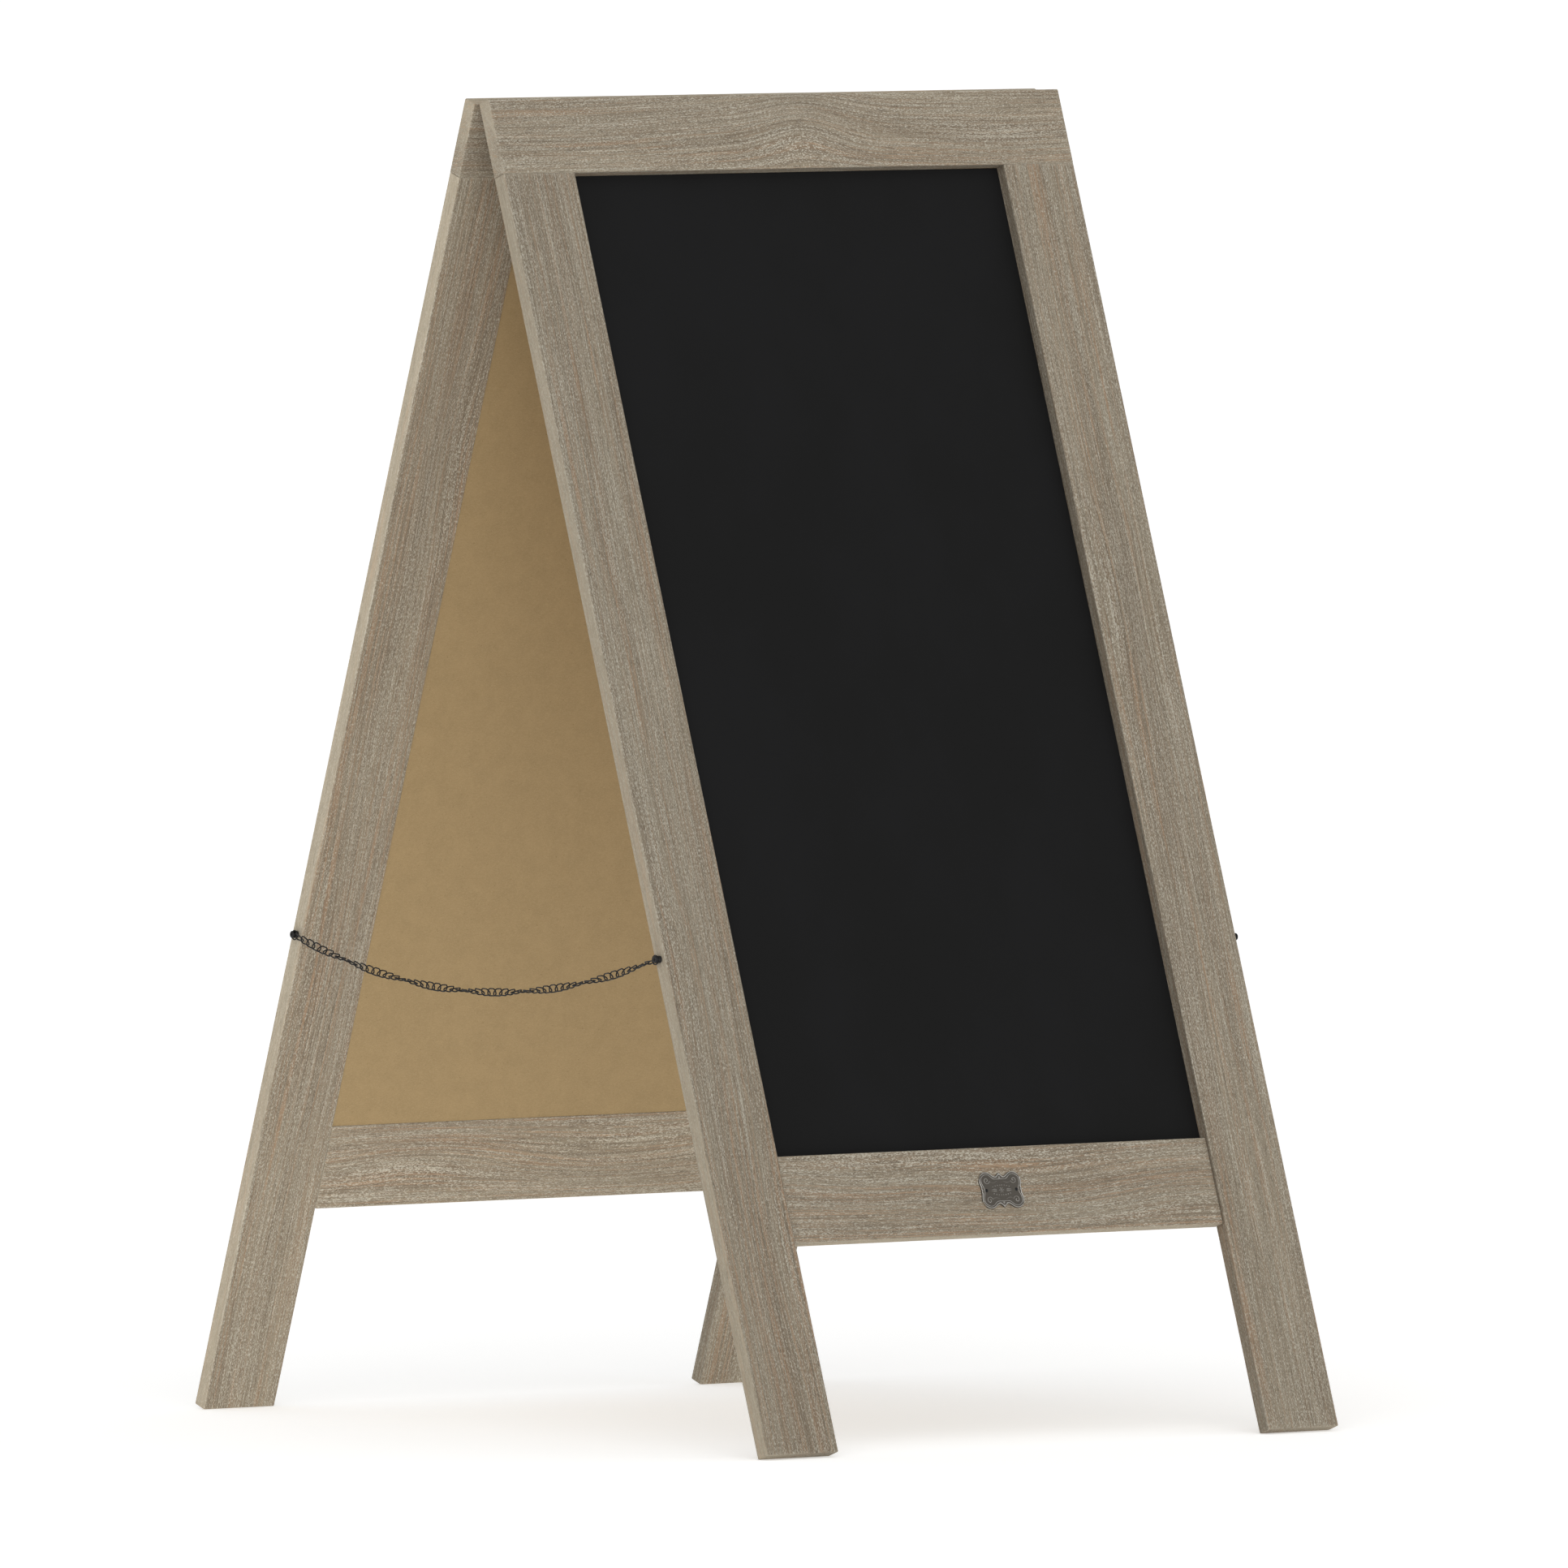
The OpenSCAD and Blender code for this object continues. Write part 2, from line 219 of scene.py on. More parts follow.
class Grain:
    """The run of the grain in one board, in millimetres from its middle: u along, a across and t out.

    `tilt` is how far the growth rings lean from the face. The last argument scales the board's brightness: partly
    its own tone, and on the back frame's boards painted light that lifts them out of the shade they stand in.
    """

    def __init__(self, seed, tilt, swirls, tone=1.0):
        self.seed = seed
        self.tilt = math.radians(tilt)
        self.swirls = swirls
        self.tone = tone

    def flow(self, u, a, t):
        """A coordinate across the grain that bends with the growth rings."""
        rings = a * math.cos(self.tilt) + t * math.sin(self.tilt)
        rings = rings + 3.5 * noise(u / 380, a / 70, self.seed) + 0.7 * noise(u / 95, a / 26, self.seed + 1)
        for swirl in self.swirls:
            rings = rings + swirl.shift * near(swirl, u, a)
        return rings

    def relief(self, u, a, t):
        """How deep the brushed surface lies below the board's flat faces, from 0 to about 1."""
        rings = self.flow(u, a, t)
        strong = 0.25 + 0.6 * np.clip(noise(u / 150, rings / 14, self.seed + 2) + 0.25, 0, 1)
        for swirl in self.swirls:
            strong = strong + 0.55 * near(swirl, u, a)
        wander = 2.2 * noise(u / 90, rings / 9, self.seed + 3)
        grooves = (0.5 + 0.5 * np.cos(rings * 2 * math.pi / GROOVE_SPACING + wander)) ** 3
        broken = 0.5 + 0.5 * noise(u / 16, rings / 2.6, self.seed + 5)
        streaks = 0.5 + 0.5 * noise(u / 26, rings / 1.9, self.seed + 4)
        return np.clip(0.9 * grooves * strong * (0.4 + broken) + 0.25 * streaks, 0, 1.2)


# The last number of each board scales its brightness: partly its own tone, and on the back frame (1.25 to 1.42)
# painted light that lifts the boards out of the shade they stand in.
GRAIN = {
    ("front", "top_rail"): Grain(11, 20, [
        Swirl(20, 5, 45, 30, -14),
        Swirl(-60, 0, 80, 30, -5),
        Swirl(190, -10, 60, 20, 3),
    ], 1.15),
    ("front", "left_stile"): Grain(23, 30, [
        Swirl(-112, 12, 70, 14, 4),
        Swirl(-322, -12, 80, 18, -4),
    ], 0.96),
    ("front", "right_stile"): Grain(37, 30, [
        Swirl(148, 10, 75, 15, 6),
        Swirl(108, -14, 60, 12, -3),
    ]),
    ("front", "bottom_rail"): Grain(41, 18, [
        Swirl(30, 4, 105, 26, 9),
        Swirl(160, -8, 60, 15, -5),
        Swirl(-120, 10, 60, 20, 6),
    ], 1.1),
    ("back", "top_rail"): Grain(53, 22, [
        Swirl(-60, 0, 120, 25, 8),
    ], 1.25),
    ("back", "left_stile"): Grain(67, 28, [
        Swirl(268, 12, 90, 15, 7),
        Swirl(-172, -5, 120, 18, -6),
    ], 1.27),
    ("back", "right_stile"): Grain(71, 28, [
        Swirl(8, -10, 80, 15, 8),
    ], 1.25),
    ("back", "bottom_rail"): Grain(83, 20, [
        Swirl(-80, -4, 100, 20, 8),
        Swirl(110, 6, 80, 20, -8),
    ], 1.42),
}


# ---------------------------------------------------------------- boards

def section(half_a, half_t):
    """Points round a board's cross-section: each one's place on the core rectangle, and the way out of it."""
    corners = [(1, 1), (-1, 1), (-1, -1), (1, -1)]
    place, out = [], []
    for i, here in enumerate(corners):
        after = corners[(i + 1) % 4]
        for k in range(CORNER_STEPS + 1):
            turn = math.pi / 2 * (i + k / CORNER_STEPS)
            place.append(here)
            out.append((math.cos(turn), math.sin(turn)))
        count = round(2 * (half_t if i % 2 else half_a) / STEP_ACROSS)
        facing = math.pi / 2 * (i + 1)
        for share in np.arange(1, count) / count:
            place.append([h + (n - h) * share for h, n in zip(here, after)])
            out.append((math.cos(facing), math.sin(facing)))
    return np.array(place), np.array(out)


def ring_places(low, high, ease_low, ease_high):
    """Places of the rings along a board, and how far each is drawn in at the rounded ends."""
    turns = np.radians([0, 30, 60, 90])
    body = np.linspace(low + ease_low, high - ease_high, round((high - low) / STEP_ALONG))[1:-1]
    places = np.concatenate([
        low + ease_low * (1 - np.sin(turns[::-1])), body, high - ease_high * (1 - np.sin(turns))])
    inset = np.concatenate([
        ease_low * (1 - np.cos(turns[::-1])), 0 * body, ease_high * (1 - np.cos(turns))])
    return places, inset


def build_board(side, part, ease_low, ease_high, tight=None):
    """One board as a fine mesh. `tight` says where along it the lower edges butt against a neighbour."""
    name = f"{side}_{part}"
    axes = grain_axes(side, part)
    grain = GRAIN[side, part]
    local = positions(NODES[name].data) @ axes.T
    low, high = local.min(0), local.max(0)
    middle, half = (low + high) / 2, (high - low) / 2
    place, out = section(half[1], half[2])
    along, inset = ring_places(low[0], high[0], ease_low, ease_high)
    radius = np.full((len(along), len(place)), EASE)
    if tight is not None:
        butted = tight(along)[:, None] & (place[:, 0] < 0)[None] & (np.abs(place[:, 0]) == 1)[None]
        radius[butted] = TIGHT_EASE
    reach = np.stack([half[1] - inset, half[2] - inset], -1)[:, None] - radius[..., None]
    ring = place[None] * reach + out[None] * radius[..., None] + middle[1:]
    u = np.broadcast_to(along[:, None], ring.shape[:2])
    from_middle = [(c - m) / MM for c, m in zip((u, ring[..., 0], ring[..., 1]), middle)]
    depth = RELIEF * grain.relief(*from_middle)
    depth = depth * (1 - inset / max(ease_low, ease_high))[:, None]
    ring = ring - out[None] * depth[..., None]
    points = np.concatenate([u[..., None], ring], -1).reshape(-1, 3) @ axes
    rows, columns = len(along), len(place)
    faces = grid_faces(rows, columns)
    faces.append(list(range(columns))[::-1])
    faces.append([(rows - 1) * columns + j for j in range(columns)])
    piece = add_mesh(f"{name}_board", points, faces, MATERIALS["weathered_wood"])
    let_in = [f"{side}_panel", f"{side}_joint_dowels"]
    if part == "top_rail":
        let_in.append(f"{side}_hinge_screws")
    if "stile" in part:
        let_in.append(f"{side}_chain_screws")
    if name == "front_bottom_rail":
        let_in.append("badge_pins")
    cut(piece, let_in)
    opening = (positions(NODES[f"{side}_chalk_face"].data) @ axes.T).mean(0)
    paint_board(piece, grain, axes, middle, half, middle[1] - opening[1])
    smooth(piece)
    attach(piece, f"{side}_frame")
    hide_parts(name)
    return piece


def paint_board(piece, grain, axes, middle, half, outward):
    """Stores where each point lies in the grain and on the board, for the wood material.

    The sign of `outward` is the side of the board that faces away from the frame's opening.
    """
    u, a, t = ((positions(piece.data) @ axes.T - middle) / MM).T
    flow = grain.flow(u, a, t)
    put_attribute(piece.data, "grain", "FLOAT_VECTOR", np.stack([u + 137.0 * grain.seed, flow, t], -1))
    to_end, to_side, to_face = (h / MM - np.abs(c) for h, c in zip(half, (u, a, t)))
    edge = np.maximum(np.minimum(to_side, to_end), to_face)
    side = np.clip((to_face - np.minimum(to_side, to_end)) / 1.5 + 0.5, 0, 1)
    # the side faces away from the opening get paler: partly their smoother sawn wood, partly painted light as if
    # they caught more light
    put_attribute(piece.data, "side", "FLOAT", np.where(a * outward < 0, 0, side))
    # painted shade: the side faces along the opening are darkened as if shaded inside the recess
    put_attribute(piece.data, "inner", "FLOAT", np.where((a * outward < 0) & (to_side < to_end), side, 0))
    # lighter eased edges: partly wear, partly a painted highlight along the rounding
    put_attribute(piece.data, "edge_wear_and_highlight", "FLOAT", np.clip(1 - edge / 1.3, 0, 1))
    put_attribute(piece.data, "groove", "FLOAT", grain.relief(u, a, t))
    # each board's brightness, with painted light on the shaded back frame
    put_attribute(piece.data, "tone", "FLOAT_VECTOR", np.full((len(u), 3), grain.tone))


def build_boards():
    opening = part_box("front_chalk_face")[1].x
    for side in SIDES:
        build_board(side, "top_rail", END_EASE, END_EASE, lambda along: np.abs(along) > opening)
        for hand in HANDS:
            build_board(side, f"{hand}_stile", END_EASE, TIGHT_EASE)
        build_board(side, "bottom_rail", RAIL_END_EASE, RAIL_END_EASE)


# ---------------------------------------------------------------- materials
# Noise sizes on the wood are (along the grain, across it, out of the face) in millimetres.

def srgb(red, green, blue):
    """A linear colour from the usual 0 to 255 values."""
    values = [c / 255 for c in (red, green, blue)]
    linear = [c / 12.92 if c <= 0.04045 else ((c + 0.055) / 1.055) ** 2.4 for c in values]
    return (*linear, 1.0)


class Finish:
    """A material's node tree, with a short method for each kind of node it needs."""

    def __init__(self, name):
        self.material = bpy.data.materials.new(name)
        self.material.use_nodes = True
        self.tree = self.material.node_tree
        self.shader = self.tree.nodes["Principled BSDF"]

    def put(self, socket, value):
        if isinstance(value, bpy.types.NodeSocket):
            self.tree.links.new(value, socket)
        else:
            socket.default_value = value

    def node(self, kind, inputs=(), **settings):
        made = self.tree.nodes.new(f"ShaderNode{kind}")
        for key, value in settings.items():
            setattr(made, key, value)
        for socket, value in dict(inputs).items():
            self.put(made.inputs[socket], value)
        return made

    def attribute(self, name, output="Fac"):
        return self.node("Attribute", attribute_name=name).outputs[output]

    def place(self):
        return self.node("TexCoord").outputs["Object"]

    def sized(self, vector, sizes):
        """The vector in units of a feature's size along each axis."""
        scale = tuple(1 / size for size in sizes)
        return self.node("VectorMath", {0: vector, 1: scale}, operation="MULTIPLY").outputs[0]

    def noise(self, vector, sizes, detail=2.0, roughness=0.5, distortion=0.0):
        inputs = {"Vector": self.sized(vector, sizes), "Scale": 1.0, "Detail": detail,
                  "Roughness": roughness, "Distortion": distortion}
        return self.node("TexNoise", inputs).outputs["Fac"]

    def remap(self, value, low, high, to_low=0.0, to_high=1.0):
        inputs = {"Value": value, "From Min": low, "From Max": high, "To Min": to_low, "To Max": to_high}
        return self.node("MapRange", inputs, interpolation_type="SMOOTHSTEP").outputs[0]

    def math(self, operation, a, b):
        return self.node("Math", {0: a, 1: b}, operation=operation).outputs[0]

    def mix(self, factor, a, b, blend="MIX"):
        made = self.node("Mix", data_type="RGBA", blend_type=blend)
        self.put(made.inputs[0], factor)
        self.put(made.inputs[6], a)
        self.put(made.inputs[7], b)
        return made.outputs[2]

    def bump(self, height, distance, strength=1.0):
        inputs = {"Height": height, "Distance": distance, "Strength": strength}
        return self.node("Bump", inputs).outputs["Normal"]

    def finish(self, color, roughness, **more):
        self.put(self.shader.inputs["Base Color"], color)
        self.put(self.shader.inputs["Roughness"], roughness)
        for key, value in more.items():
            self.put(self.shader.inputs[key.replace("_", " ")], value)
        return self.material


def weathered_wood():
    """Wire-brushed greige wood: pale lime in the pores, dark grooves along the grain, thin tan lines."""
    f = Finish("weathered_wood")
    grain = f.attribute("grain", "Vector")
    side, edge_wear_and_highlight, groove = f.attribute("side"), f.attribute("edge_wear_and_highlight"), f.attribute("groove")
    drift = f.remap(f.noise(grain, (260, 17, 17), 3, 0.6), 0.34, 0.66)
    color = f.mix(drift, srgb(125, 113, 96), srgb(138, 127, 109))
    bands = f.remap(f.noise(grain, (320, 8, 12), 2, 0.5), 0.40, 0.64)
    lines = f.remap(f.noise(grain, (150, 1.5, 4), 3, 0.6), 0.47, 0.62)
    tan = f.math("MULTIPLY", lines, f.remap(bands, 0, 1, 0.3, 1.0))
    color = f.mix(f.math("MULTIPLY", tan, 0.7), color, srgb(154, 127, 101))
    pores = f.remap(f.noise(grain, (11, 0.42, 0.6), 3, 0.65), 0.55, 0.67)
    streaks = f.remap(f.noise(grain, (120, 0.95, 1.5), 3, 0.6), 0.53, 0.66)
    deep = f.remap(groove, 0.35, 0.9)
    dark = f.math("MAXIMUM", pores, f.math("MULTIPLY", f.math("MAXIMUM", deep, streaks), 0.65))
    color = f.mix(f.math("MULTIPLY", dark, 0.65), color, srgb(84, 72, 58))
    rows = f.noise(grain, (110, 1.25, 2), 3, 0.6)
    crowd = f.math("ADD", f.math("MULTIPLY", rows, 0.44), f.math("MULTIPLY", bands, -0.03))
    dashes = f.noise(grain, (1.9, 0.43, 0.5), 2, 0.65, 0.3)
    flecks = f.remap(f.math("ADD", dashes, crowd), 0.725, 0.80)
    calm = f.math("SUBTRACT", 1.0, f.math("MULTIPLY", side, 0.25))
    flecks = f.math("MULTIPLY", flecks, calm)
    color = f.mix(f.math("MULTIPLY", flecks, 0.8), color, srgb(186, 180, 165))
    # Side faces away from the opening turn paler: partly smoother sawn wood, partly painted light as if they
    # caught more light.
    color = f.mix(f.math("MULTIPLY", side, 0.42), color, srgb(186, 175, 154))
    # Painted shade: the reveal faces along the opening turn darker, as if shaded by the recess.
    inner = f.attribute("inner")
    color = f.mix(f.math("MULTIPLY", inner, 0.42), color, srgb(92, 83, 70))
    # Eased edges turn lighter: partly wear, partly a painted highlight along their rounding.
    ragged = f.remap(f.noise(grain, (5, 1.5, 1.5), 2), 0.35, 0.6)
    color = f.mix(f.math("MULTIPLY", f.math("MULTIPLY", edge_wear_and_highlight, ragged), 0.35), color, srgb(180, 173, 157))
    # The board's brightness: partly its own tone, partly painted light on the shaded back frame.
    tone = f.attribute("tone", "Color")
    color = f.mix(1.0, color, tone, "MULTIPLY")
    height = f.math("SUBTRACT", f.math("MULTIPLY", flecks, 0.6), dark)
    fine = f.noise(grain, (1.6, 0.28, 0.3), 2, 0.6)
    height = f.math("ADD", height, f.math("MULTIPLY", fine, 0.5))
    roughness = f.remap(flecks, 0, 1, 0.74, 0.9)
    return f.finish(color, roughness, Normal=f.bump(height, 0.14 * MM), Specular_IOR_Level=0.25)


def hardboard():
    """Plain brown hardboard: pressed fibres, soft mottling and dark specks."""
    f = Finish("hardboard")
    place = f.place()
    mottle = f.noise(place, (14 * MM,) * 3, 5, 0.7)
    fibres = f.noise(place, (1.6 * MM, 1.1 * MM, 0.7 * MM), 3, 0.7, 1.2)
    specks = f.remap(f.noise(place, (1.5 * MM,) * 3, 2, 0.6), 0.68, 0.75)
    color = f.mix(f.remap(mottle, 0.3, 0.7), srgb(160, 137, 99), srgb(167, 143, 104))
    color = f.mix(f.remap(fibres, 0.4, 0.7, 0.0, 0.5), color, srgb(186, 162, 122))
    color = f.mix(f.math("MULTIPLY", specks, 0.5), color, srgb(100, 80, 53))
    height = f.math("ADD", fibres, f.math("MULTIPLY", mottle, 0.5))
    return f.finish(color, 0.72, Normal=f.bump(height, 0.05 * MM), Specular_IOR_Level=0.2)


def chalk_black():
    """Matte black chalk coat with the faintest cloudiness and tooth."""
    f = Finish("chalk_black")
    place = f.place()
    cloud = f.remap(f.noise(place, (90 * MM, 90 * MM, 140 * MM), 3, 0.6), 0.35, 0.65)
    tooth = f.noise(place, (0.35 * MM,) * 3, 2, 0.6)
    color = f.mix(cloud, srgb(24.5, 24.5, 24.5), srgb(26.5, 26.5, 27))
    roughness = f.remap(cloud, 0, 1, 0.62, 0.68)
    return f.finish(color, roughness, Normal=f.bump(tooth, 0.01 * MM), Specular_IOR_Level=0.06)


def dowel_wood():
    """Plain beech with short rays along each dowel."""
    f = Finish("dowel_wood")
    place = f.place()
    rays = f.remap(f.noise(place, (1.2 * MM, 1.2 * MM, 4 * MM), 3, 0.6), 0.4, 0.65)
    color = f.mix(rays, srgb(205, 176, 136), srgb(178, 146, 105))
    return f.finish(color, 0.6, Normal=f.bump(rays, 0.05 * MM))


def zinc_steel():
    """Zinc-plated steel with a faint spangle and fine scuffs."""
    f = Finish("zinc_steel")
    place = f.place()
    spangle = f.noise(place, (2.4 * MM,) * 3, 3, 0.6)
    scuffs = f.noise(place, (6 * MM, 0.4 * MM, 0.4 * MM), 2, 0.6)
    color = f.mix(f.remap(spangle, 0.35, 0.65), srgb(160, 161, 162), srgb(190, 190, 188))
    roughness = f.remap(scuffs, 0.35, 0.65, 0.28, 0.45)
    return f.finish(color, roughness, Metallic=1.0, Normal=f.bump(scuffs, 0.02 * MM))


def black_metal():
    """Blackened steel, half gloss, slightly rubbed."""
    f = Finish("black_metal")
    place = f.place()
    rubbed = f.remap(f.noise(place, (1.6 * MM,) * 3, 3, 0.6), 0.5, 0.72)
    color = f.mix(f.math("MULTIPLY", rubbed, 0.5), srgb(30, 30, 31), srgb(74, 73, 72))
    roughness = f.remap(rubbed, 0, 1, 0.42, 0.3)
    return f.finish(color, roughness, Metallic=0.55, Specular_IOR_Level=0.4)


def pewter():
    """Antique pewter: dark in the hollows, bright on the raised edges."""
    f = Finish("pewter")
    place = f.place()
    raised = f.attribute("raised")
    cloud = f.noise(place, (2.2 * MM,) * 3, 4, 0.65)
    uneven = f.math("MULTIPLY", f.math("SUBTRACT", cloud, 0.5), 0.5)
    polish = f.remap(f.math("ADD", raised, uneven), 0.3, 0.95)
    color = f.mix(polish, srgb(86, 81, 74), srgb(178, 175, 169))
    roughness = f.remap(polish, 0, 1, 0.55, 0.3)
    metallic = f.remap(polish, 0, 1, 0.55, 0.95)
    return f.finish(color, roughness, Metallic=metallic, Normal=f.bump(cloud, 0.04 * MM))


MATERIALS = {make.__name__: make() for make in (
    weathered_wood, hardboard, chalk_black, dowel_wood, zinc_steel, black_metal, pewter)}


def finish_cad_nodes():
    """Gives every CAD node the material of its slot."""
    for part in RECORD["subparts"]:
        for slot in NODES[part["node"]].material_slots:
            slot.material = MATERIALS[part["material_slot"]]


# ---------------------------------------------------------------- chains

class Hanging:
    """A chain's catenary between its two screws, at a constant x."""

    def __init__(self, hand):
        joints = {j["name"]: j["pos_m"] for j in frame["joints"]}
        front = joints[f"{hand}_chain_bend_1"]
        self.x = front[0]
        self.anchor = -front[1], front[2]
        self.links = sum(LINKS_IN_RUNS)
        self.half = (self.links + 1) * LINK_PITCH / 2
        low, high = 0.1, 5.0
        for _ in range(50):
            self.scale = (low + high) / 2
            if self.scale * math.asinh(self.half / self.scale) > self.anchor[0]:
                high = self.scale
            else:
                low = self.scale
        self.lowest = self.anchor[1] - math.hypot(self.scale, self.half) + self.scale

    def point(self, s):
        """Place at arc length s from the lowest point, and the direction along the chain there."""
        y = self.scale * math.asinh(s / self.scale)
        z = self.lowest + math.hypot(self.scale, s) - self.scale
        slope = math.atan(s / self.scale)
        return np.array([self.x, y, z]), np.array([0, math.cos(slope), math.sin(slope)])

    def link_place(self, number):
        return self.point((number - (self.links + 1) / 2) * LINK_PITCH)


def tube(path, normal, radius, sides=TUBE_SIDES):
    """Points of a closed tube round a closed path, its rings lined up with a normal at each point."""
    tangent = np.roll(path, -1, 0) - np.roll(path, 1, 0)
    tangent /= np.linalg.norm(tangent, axis=1)[:, None]
    first = normal - np.sum(normal * tangent, 1)[:, None] * tangent
    first /= np.linalg.norm(first, axis=1)[:, None]
    second = np.cross(tangent, first)
    turn = np.arange(sides) * 2 * math.pi / sides
    around = np.cos(turn)[None, :, None] * first[:, None] + np.sin(turn)[None, :, None] * second[:, None]
    return (path[:, None] + radius * around).reshape(-1, 3)


def tube_faces(rings, start, sides=TUBE_SIDES):
    i, j = np.meshgrid(np.arange(rings), np.arange(sides), indexing="ij")
    i2, j2 = (i + 1) % rings, (j + 1) % sides
    quads = np.stack([i * sides + j, i2 * sides + j, i2 * sides + j2, i * sides + j2], -1)
    return (quads.reshape(-1, 4) + start).tolist()


def link_outline(steps=12):
    """A link's centre line in its own plane: two half rings joined by straight wires."""
    bend = (LINK_WIDTH - LINK_WIRE) / 2
    straight = LINK_HALF - bend
    turn = np.linspace(-math.pi / 2, math.pi / 2, steps + 1)
    half = np.stack([straight + bend * np.cos(turn), bend * np.sin(turn)], -1)
    side = np.stack([np.linspace(straight, -straight, 6)[1:-1], np.full(4, bend)], -1)
    return np.concatenate([half, side, -half, -side])


def link_points(chain, number):
    """One twisted link, rolled a little further than the one before it."""
    centre, along = chain.link_place(number)
    flat = link_outline()
    edge_on = (chain.links + 1) / 2 + EDGE_ON_AT / LINK_PITCH
    roll = (number - edge_on) * ROLL_PER_LINK + LINK_TWIST * flat[:, 0] / (2 * LINK_HALF)
    across = np.array([1.0, 0, 0])
    upright = np.cross(across, along)
    width = np.cos(roll)[:, None] * across + np.sin(roll)[:, None] * upright
    normal = -np.sin(roll)[:, None] * across + np.cos(roll)[:, None] * upright
    path = centre + flat[:, :1] * along + flat[:, 1:] * width
    return tube(path, normal, LINK_WIRE / 2)


def ring_points(chain, end, steps=36):
    """The end ring round a screw, in the plane of the chain."""
    _, along = chain.point(end * chain.half)
    screw = np.array([chain.x, end * chain.anchor[0], chain.anchor[1]])
    centre = screw - end * RING_OFFSET * along
    radius = (RING_OUTER - LINK_WIRE) / 2
    turn = np.arange(steps) * 2 * math.pi / steps
    path = centre + radius * np.stack([0 * turn, np.cos(turn), np.sin(turn)], -1)
    normal = np.broadcast_to(np.array([1.0, 0, 0]), path.shape)
    return tube(path, normal, LINK_WIRE / 2)


def build_chain(hand):
    chain = Hanging(hand)
    first = 1
    for run, count in enumerate(LINKS_IN_RUNS, 1):
        parts = [link_points(chain, number) for number in range(first, first + count)]
        if run in (1, len(LINKS_IN_RUNS)):
            parts.append(ring_points(chain, -1 if run == 1 else 1))
        points, faces = [], []
        for part in parts:
            faces += tube_faces(len(part) // TUBE_SIDES, sum(len(p) for p in points))
            points.append(part)
        name = f"{hand}_chain_links_{run}"
        piece = add_mesh(name, np.concatenate(points), faces, MATERIALS["black_metal"])
        smooth(piece)
        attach(piece, f"{hand}_chain_{run}")
        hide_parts(f"{hand}_chain_run_{run}")
        first += count


# ---------------------------------------------------------------- badge

def blend_max(a, b, softness):
    """The larger of two fields, with a rounded join."""
    h = np.clip(0.5 + 0.5 * (a - b) / softness, 0, 1)
    return b + (a - b) * h + softness * h * (1 - h)


def badge_inside(x, y):
    """How far a place lies inside the badge's outline, in millimetres, negative outside it."""
    x, y = np.abs(x), np.abs(y)
    half_w, half_h = BADGE_WIDTH / MM / 2, BADGE_HEIGHT / MM / 2
    lobe = 6.8
    field = lobe - np.hypot(x - (half_w - lobe), y - (half_h - lobe))
    body = np.minimum(half_w - 1.7 - x, half_h - 3.5 - y)
    field = blend_max(field, body, 3.0)
    nub = 1.8 - np.hypot(x - (half_w - 2.4), y - 1.1)
    field = blend_max(field, nub, 0.8)
    crest = 2.3 - np.hypot(x * 0.8, y - (half_h - 4.0))
    field = blend_max(field, crest, 1.4)
    point = 0.9 - np.hypot(x, y - (half_h - 1.7))
    return blend_max(field, point, 1.2)


def ridge(distance, width):
    return np.exp(-(distance / width) ** 2)


def curve_distance(x, y, curve):
    """Distance from each place to the nearest point of a curve."""
    best = np.full(x.shape, 1e9)
    for cx, cy in curve:
        best = np.minimum(best, np.hypot(x - cx, y - cy))
    return best


def spiral(centre, start, turns, reach, steps=36):
    """A scroll that winds in towards its centre."""
    t = np.linspace(0, 1, steps)
    angle = start + turns * 2 * math.pi * t
    radius = reach * (1 - 0.8 * t)
    return np.stack([centre[0] + radius * np.cos(angle), centre[1] + radius * np.sin(angle)], -1)


def badge_height(x, y):
    """The badge's relief from 0 to 1: two rims, corner scrolls, two leaves and beads round a rosette."""
    inside = badge_inside(x, y)
    height = np.maximum(ridge(inside - 0.55, 0.42), 0.8 * ridge(inside - 1.9, 0.34))
    fx, fy = np.abs(x), np.abs(y)
    scroll = spiral((12.0, 7.3), math.radians(200), 1.15, 2.7)
    height = np.maximum(height, 0.85 * ridge(curve_distance(fx, fy, scroll), 0.36))
    vine = np.stack([np.linspace(3.0, 9.6, 24), 6.6 - 1.1 * np.sin(np.linspace(0, math.pi, 24))], -1)
    height = np.maximum(height, 0.6 * ridge(curve_distance(fx, fy, vine), 0.3))
    leaf = 1 - np.hypot((fx - 6.6) / 3.6, y / (1.5 - 0.15 * np.clip(fx - 6.6, -3, 3)))
    vein = 0.35 * ridge(y, 0.2) + 0.2 * ridge(np.abs(np.sin(fx * 2.4 - np.abs(y) * 1.6)), 0.35)
    height = np.maximum(height, np.clip(leaf * 1.6, 0, 0.62) - vein * (leaf > 0.1))
    radius, turn = np.hypot(x, y), np.arctan2(y, x)
    petals = np.clip((2.6 * (0.75 + 0.25 * np.cos(6 * turn)) - radius) * 1.2, 0, 0.6)
    height = np.maximum(height, petals * (0.6 + 0.4 * np.cos(6 * turn)))
    height = np.maximum(height, 0.7 * ridge(radius, 0.75))
    for place in range(4):
        bead = np.hypot(fx - (0.9 + 2.1 * place), fy - (3.6 - 0.12 * place ** 2))
        height = np.maximum(height, 0.75 * ridge(bead, 0.55))
    return height


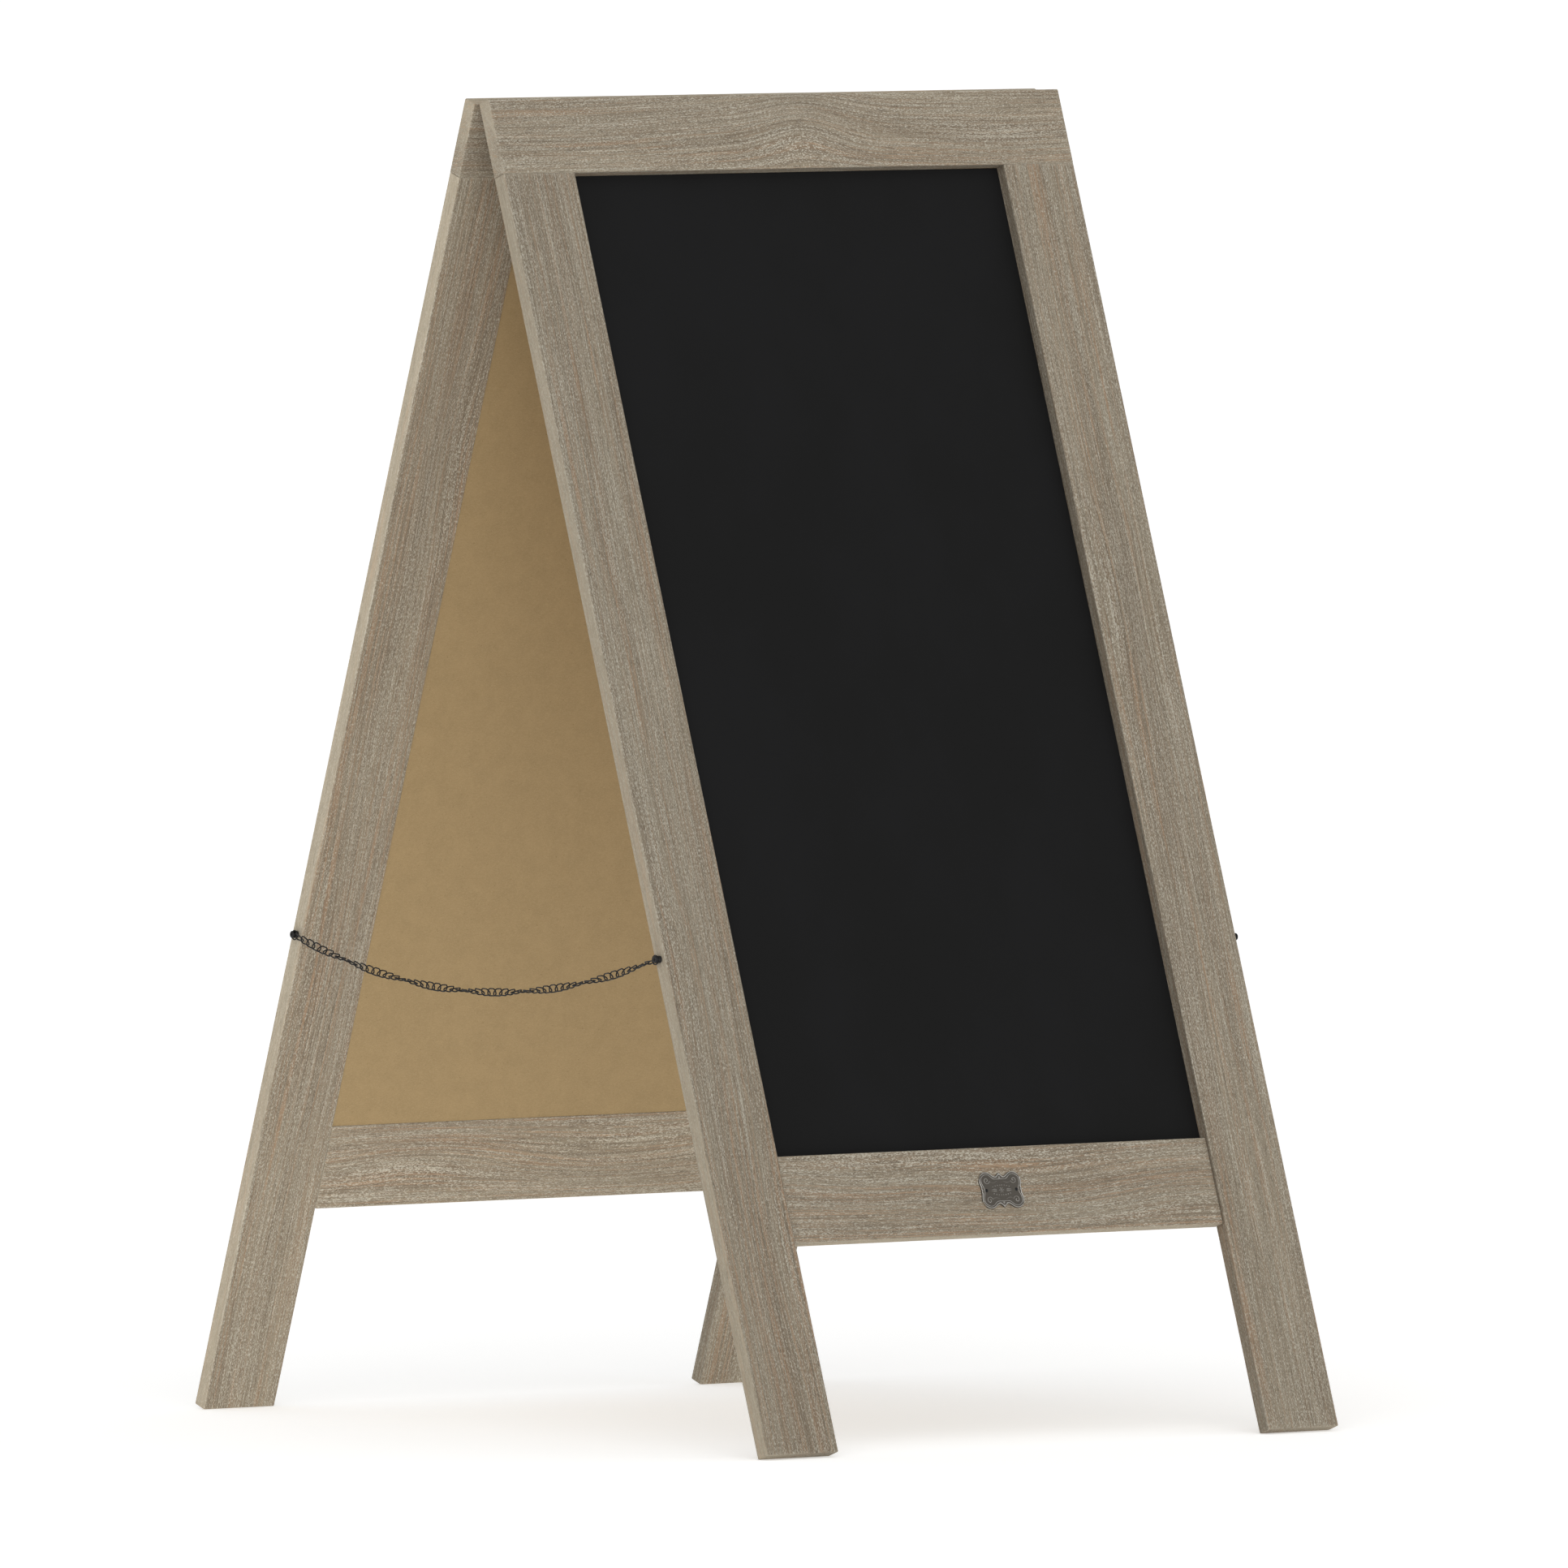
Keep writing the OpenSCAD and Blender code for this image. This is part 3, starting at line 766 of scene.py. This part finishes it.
def build_badge():
    """A disc-like grid stretched to the outline, raised by the relief, with an edge and a flat back."""
    axes = np.array(frame_axes("front"))
    corners = positions(NODES["badge"].data) @ axes.T
    centre = (corners.min(0) + corners.max(0)) / 2
    base = corners[:, 2].min()
    turns = np.arange(BADGE_RAYS) * 2 * math.pi / BADGE_RAYS
    scan = np.linspace(3, 20, 1400)
    field = badge_inside(scan[:, None] * np.cos(turns), scan[:, None] * np.sin(turns))
    edge = scan[len(scan) - 1 - np.argmax(field[::-1] > 0, axis=0)]
    shares = np.concatenate([np.linspace(0.01, 0.72, 52), np.linspace(0.72, 1, 40)[1:]])
    x = shares[:, None] * edge * np.cos(turns)
    y = shares[:, None] * edge * np.sin(turns)
    raised = badge_height(x, y)
    pin = np.hypot(np.abs(x) - PIN_SPREAD / MM / 2, y)
    raised = np.where(pin < PIN_CLEARANCE, np.minimum(raised, 0.0), raised)
    dome = np.sqrt(np.clip(1 - ((shares - 0.985) / 0.015).clip(0, 1) ** 2, 0, 1))[:, None]
    top = base + BADGE_BASE + BADGE_RELIEF * raised - BADGE_ROUNDING * (1 - dome)
    layers = [np.stack([x * MM, y * MM, top], -1)]
    layers.append(np.stack([x[-1:] * MM, y[-1:] * MM, np.full((1, len(turns)), base)], -1))
    points = np.concatenate(layers)
    rows, columns = points.shape[:2]
    faces = [face[::-1] for face in grid_faces(rows, columns)]
    faces.append(list(range(columns)))
    faces.append([(rows - 1) * columns + j for j in range(columns)][::-1])
    points = points.reshape(-1, 3) + np.array([centre[0], centre[1], 0])
    piece = add_mesh("badge_relief", points @ axes, faces, MATERIALS["pewter"])
    put_attribute(piece.data, "raised", "FLOAT", np.concatenate([raised, raised[-1:]]).ravel())
    cut(piece, ["badge_pins"])
    smooth(piece)
    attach(piece, "front_frame")
    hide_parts("badge")


# ---------------------------------------------------------------- floor, light and camera

FLOOR_HALF = 400
FLOOR_GLOW = 0.42
ROOM_LIGHT = 0.54           # brightness of the room overhead
HORIZON_LIGHT = 1.05        # brightness of the room low down
HORIZON_END = 0.12          # height of a unit direction where the low light starts to fade
OVERHEAD_START = 0.35       # and where it has faded
KEY = {"energy": 0.55, "towards": (-0.75, -0.9, 1.2), "spread": 50}
FILL = {"energy": 0.9, "towards": (-0.62, -0.78, 0.07), "spread": 40}
VIEW_AZIMUTH = math.radians(-37.183)
VIEW_ELEVATION = math.radians(2.655)
VIEW_DISTANCE = 21.3326
VIEW_CENTRE = Vector((18.37 * MM, 0, 454.83 * MM))
LENS = 685.1
SENSOR = 36


def add_floor():
    """A pale floor that glows a little, so that the faces that look down aren't left dark."""
    corners = [(-FLOOR_HALF, -FLOOR_HALF, 0), (FLOOR_HALF, -FLOOR_HALF, 0),
               (FLOOR_HALF, FLOOR_HALF, 0), (-FLOOR_HALF, FLOOR_HALF, 0)]
    f = Finish("pale_floor")
    pale = (0.93, 0.93, 0.925, 1)
    material = f.finish(pale, 1.0, Specular_IOR_Level=0.0, Emission_Color=pale, Emission_Strength=FLOOR_GLOW)
    add_mesh("floor", corners, [[0, 1, 2, 3]], material)


def add_sun(name, energy, towards, spread):
    """A far lamp in the direction `towards`, spread over that many degrees of sky."""
    lamp = bpy.data.lights.new(name, "SUN")
    lamp.energy = energy
    lamp.angle = math.radians(spread)
    holder = bpy.data.objects.new(name, lamp)
    holder.rotation_euler = Vector(towards).to_track_quat("Z", "Y").to_euler()
    bpy.context.scene.collection.objects.link(holder)


def add_light():
    """A white room, brightest low down, a soft key from the upper left, and a soft low fill."""
    world = bpy.data.worlds.new("studio")
    bpy.context.scene.world = world
    world.use_nodes = True
    tree = world.node_tree
    direction = tree.nodes.new("ShaderNodeTexCoord")
    split = tree.nodes.new("ShaderNodeSeparateXYZ")
    strength = tree.nodes.new("ShaderNodeMapRange")
    tree.links.new(direction.outputs["Generated"], split.inputs[0])
    tree.links.new(split.outputs["Z"], strength.inputs["Value"])
    strength.inputs["From Min"].default_value = HORIZON_END
    strength.inputs["From Max"].default_value = OVERHEAD_START
    strength.inputs["To Min"].default_value = HORIZON_LIGHT
    strength.inputs["To Max"].default_value = ROOM_LIGHT
    background = tree.nodes["Background"]
    background.inputs["Color"].default_value = (1, 1, 1, 1)
    tree.links.new(strength.outputs[0], background.inputs["Strength"])
    add_sun("key", **KEY)
    add_sun("fill", **FILL)


def add_camera():
    back = Vector((
        math.sin(VIEW_AZIMUTH) * math.cos(VIEW_ELEVATION),
        -math.cos(VIEW_AZIMUTH) * math.cos(VIEW_ELEVATION),
        math.sin(VIEW_ELEVATION)))
    data = bpy.data.cameras.new("camera")
    data.lens = LENS
    data.sensor_width = SENSOR
    data.clip_start = 1
    data.clip_end = 1000
    camera = bpy.data.objects.new("camera", data)
    camera.location = VIEW_CENTRE + back * VIEW_DISTANCE
    camera.rotation_euler = (-back).to_track_quat("-Z", "Y").to_euler()
    bpy.context.scene.collection.objects.link(camera)
    bpy.context.scene.camera = camera


finish_cad_nodes()
build_boards()
for hand in HANDS:
    build_chain(hand)
build_badge()
add_floor()
add_light()
add_camera()
bpy.context.scene.view_settings.view_transform = "Standard"
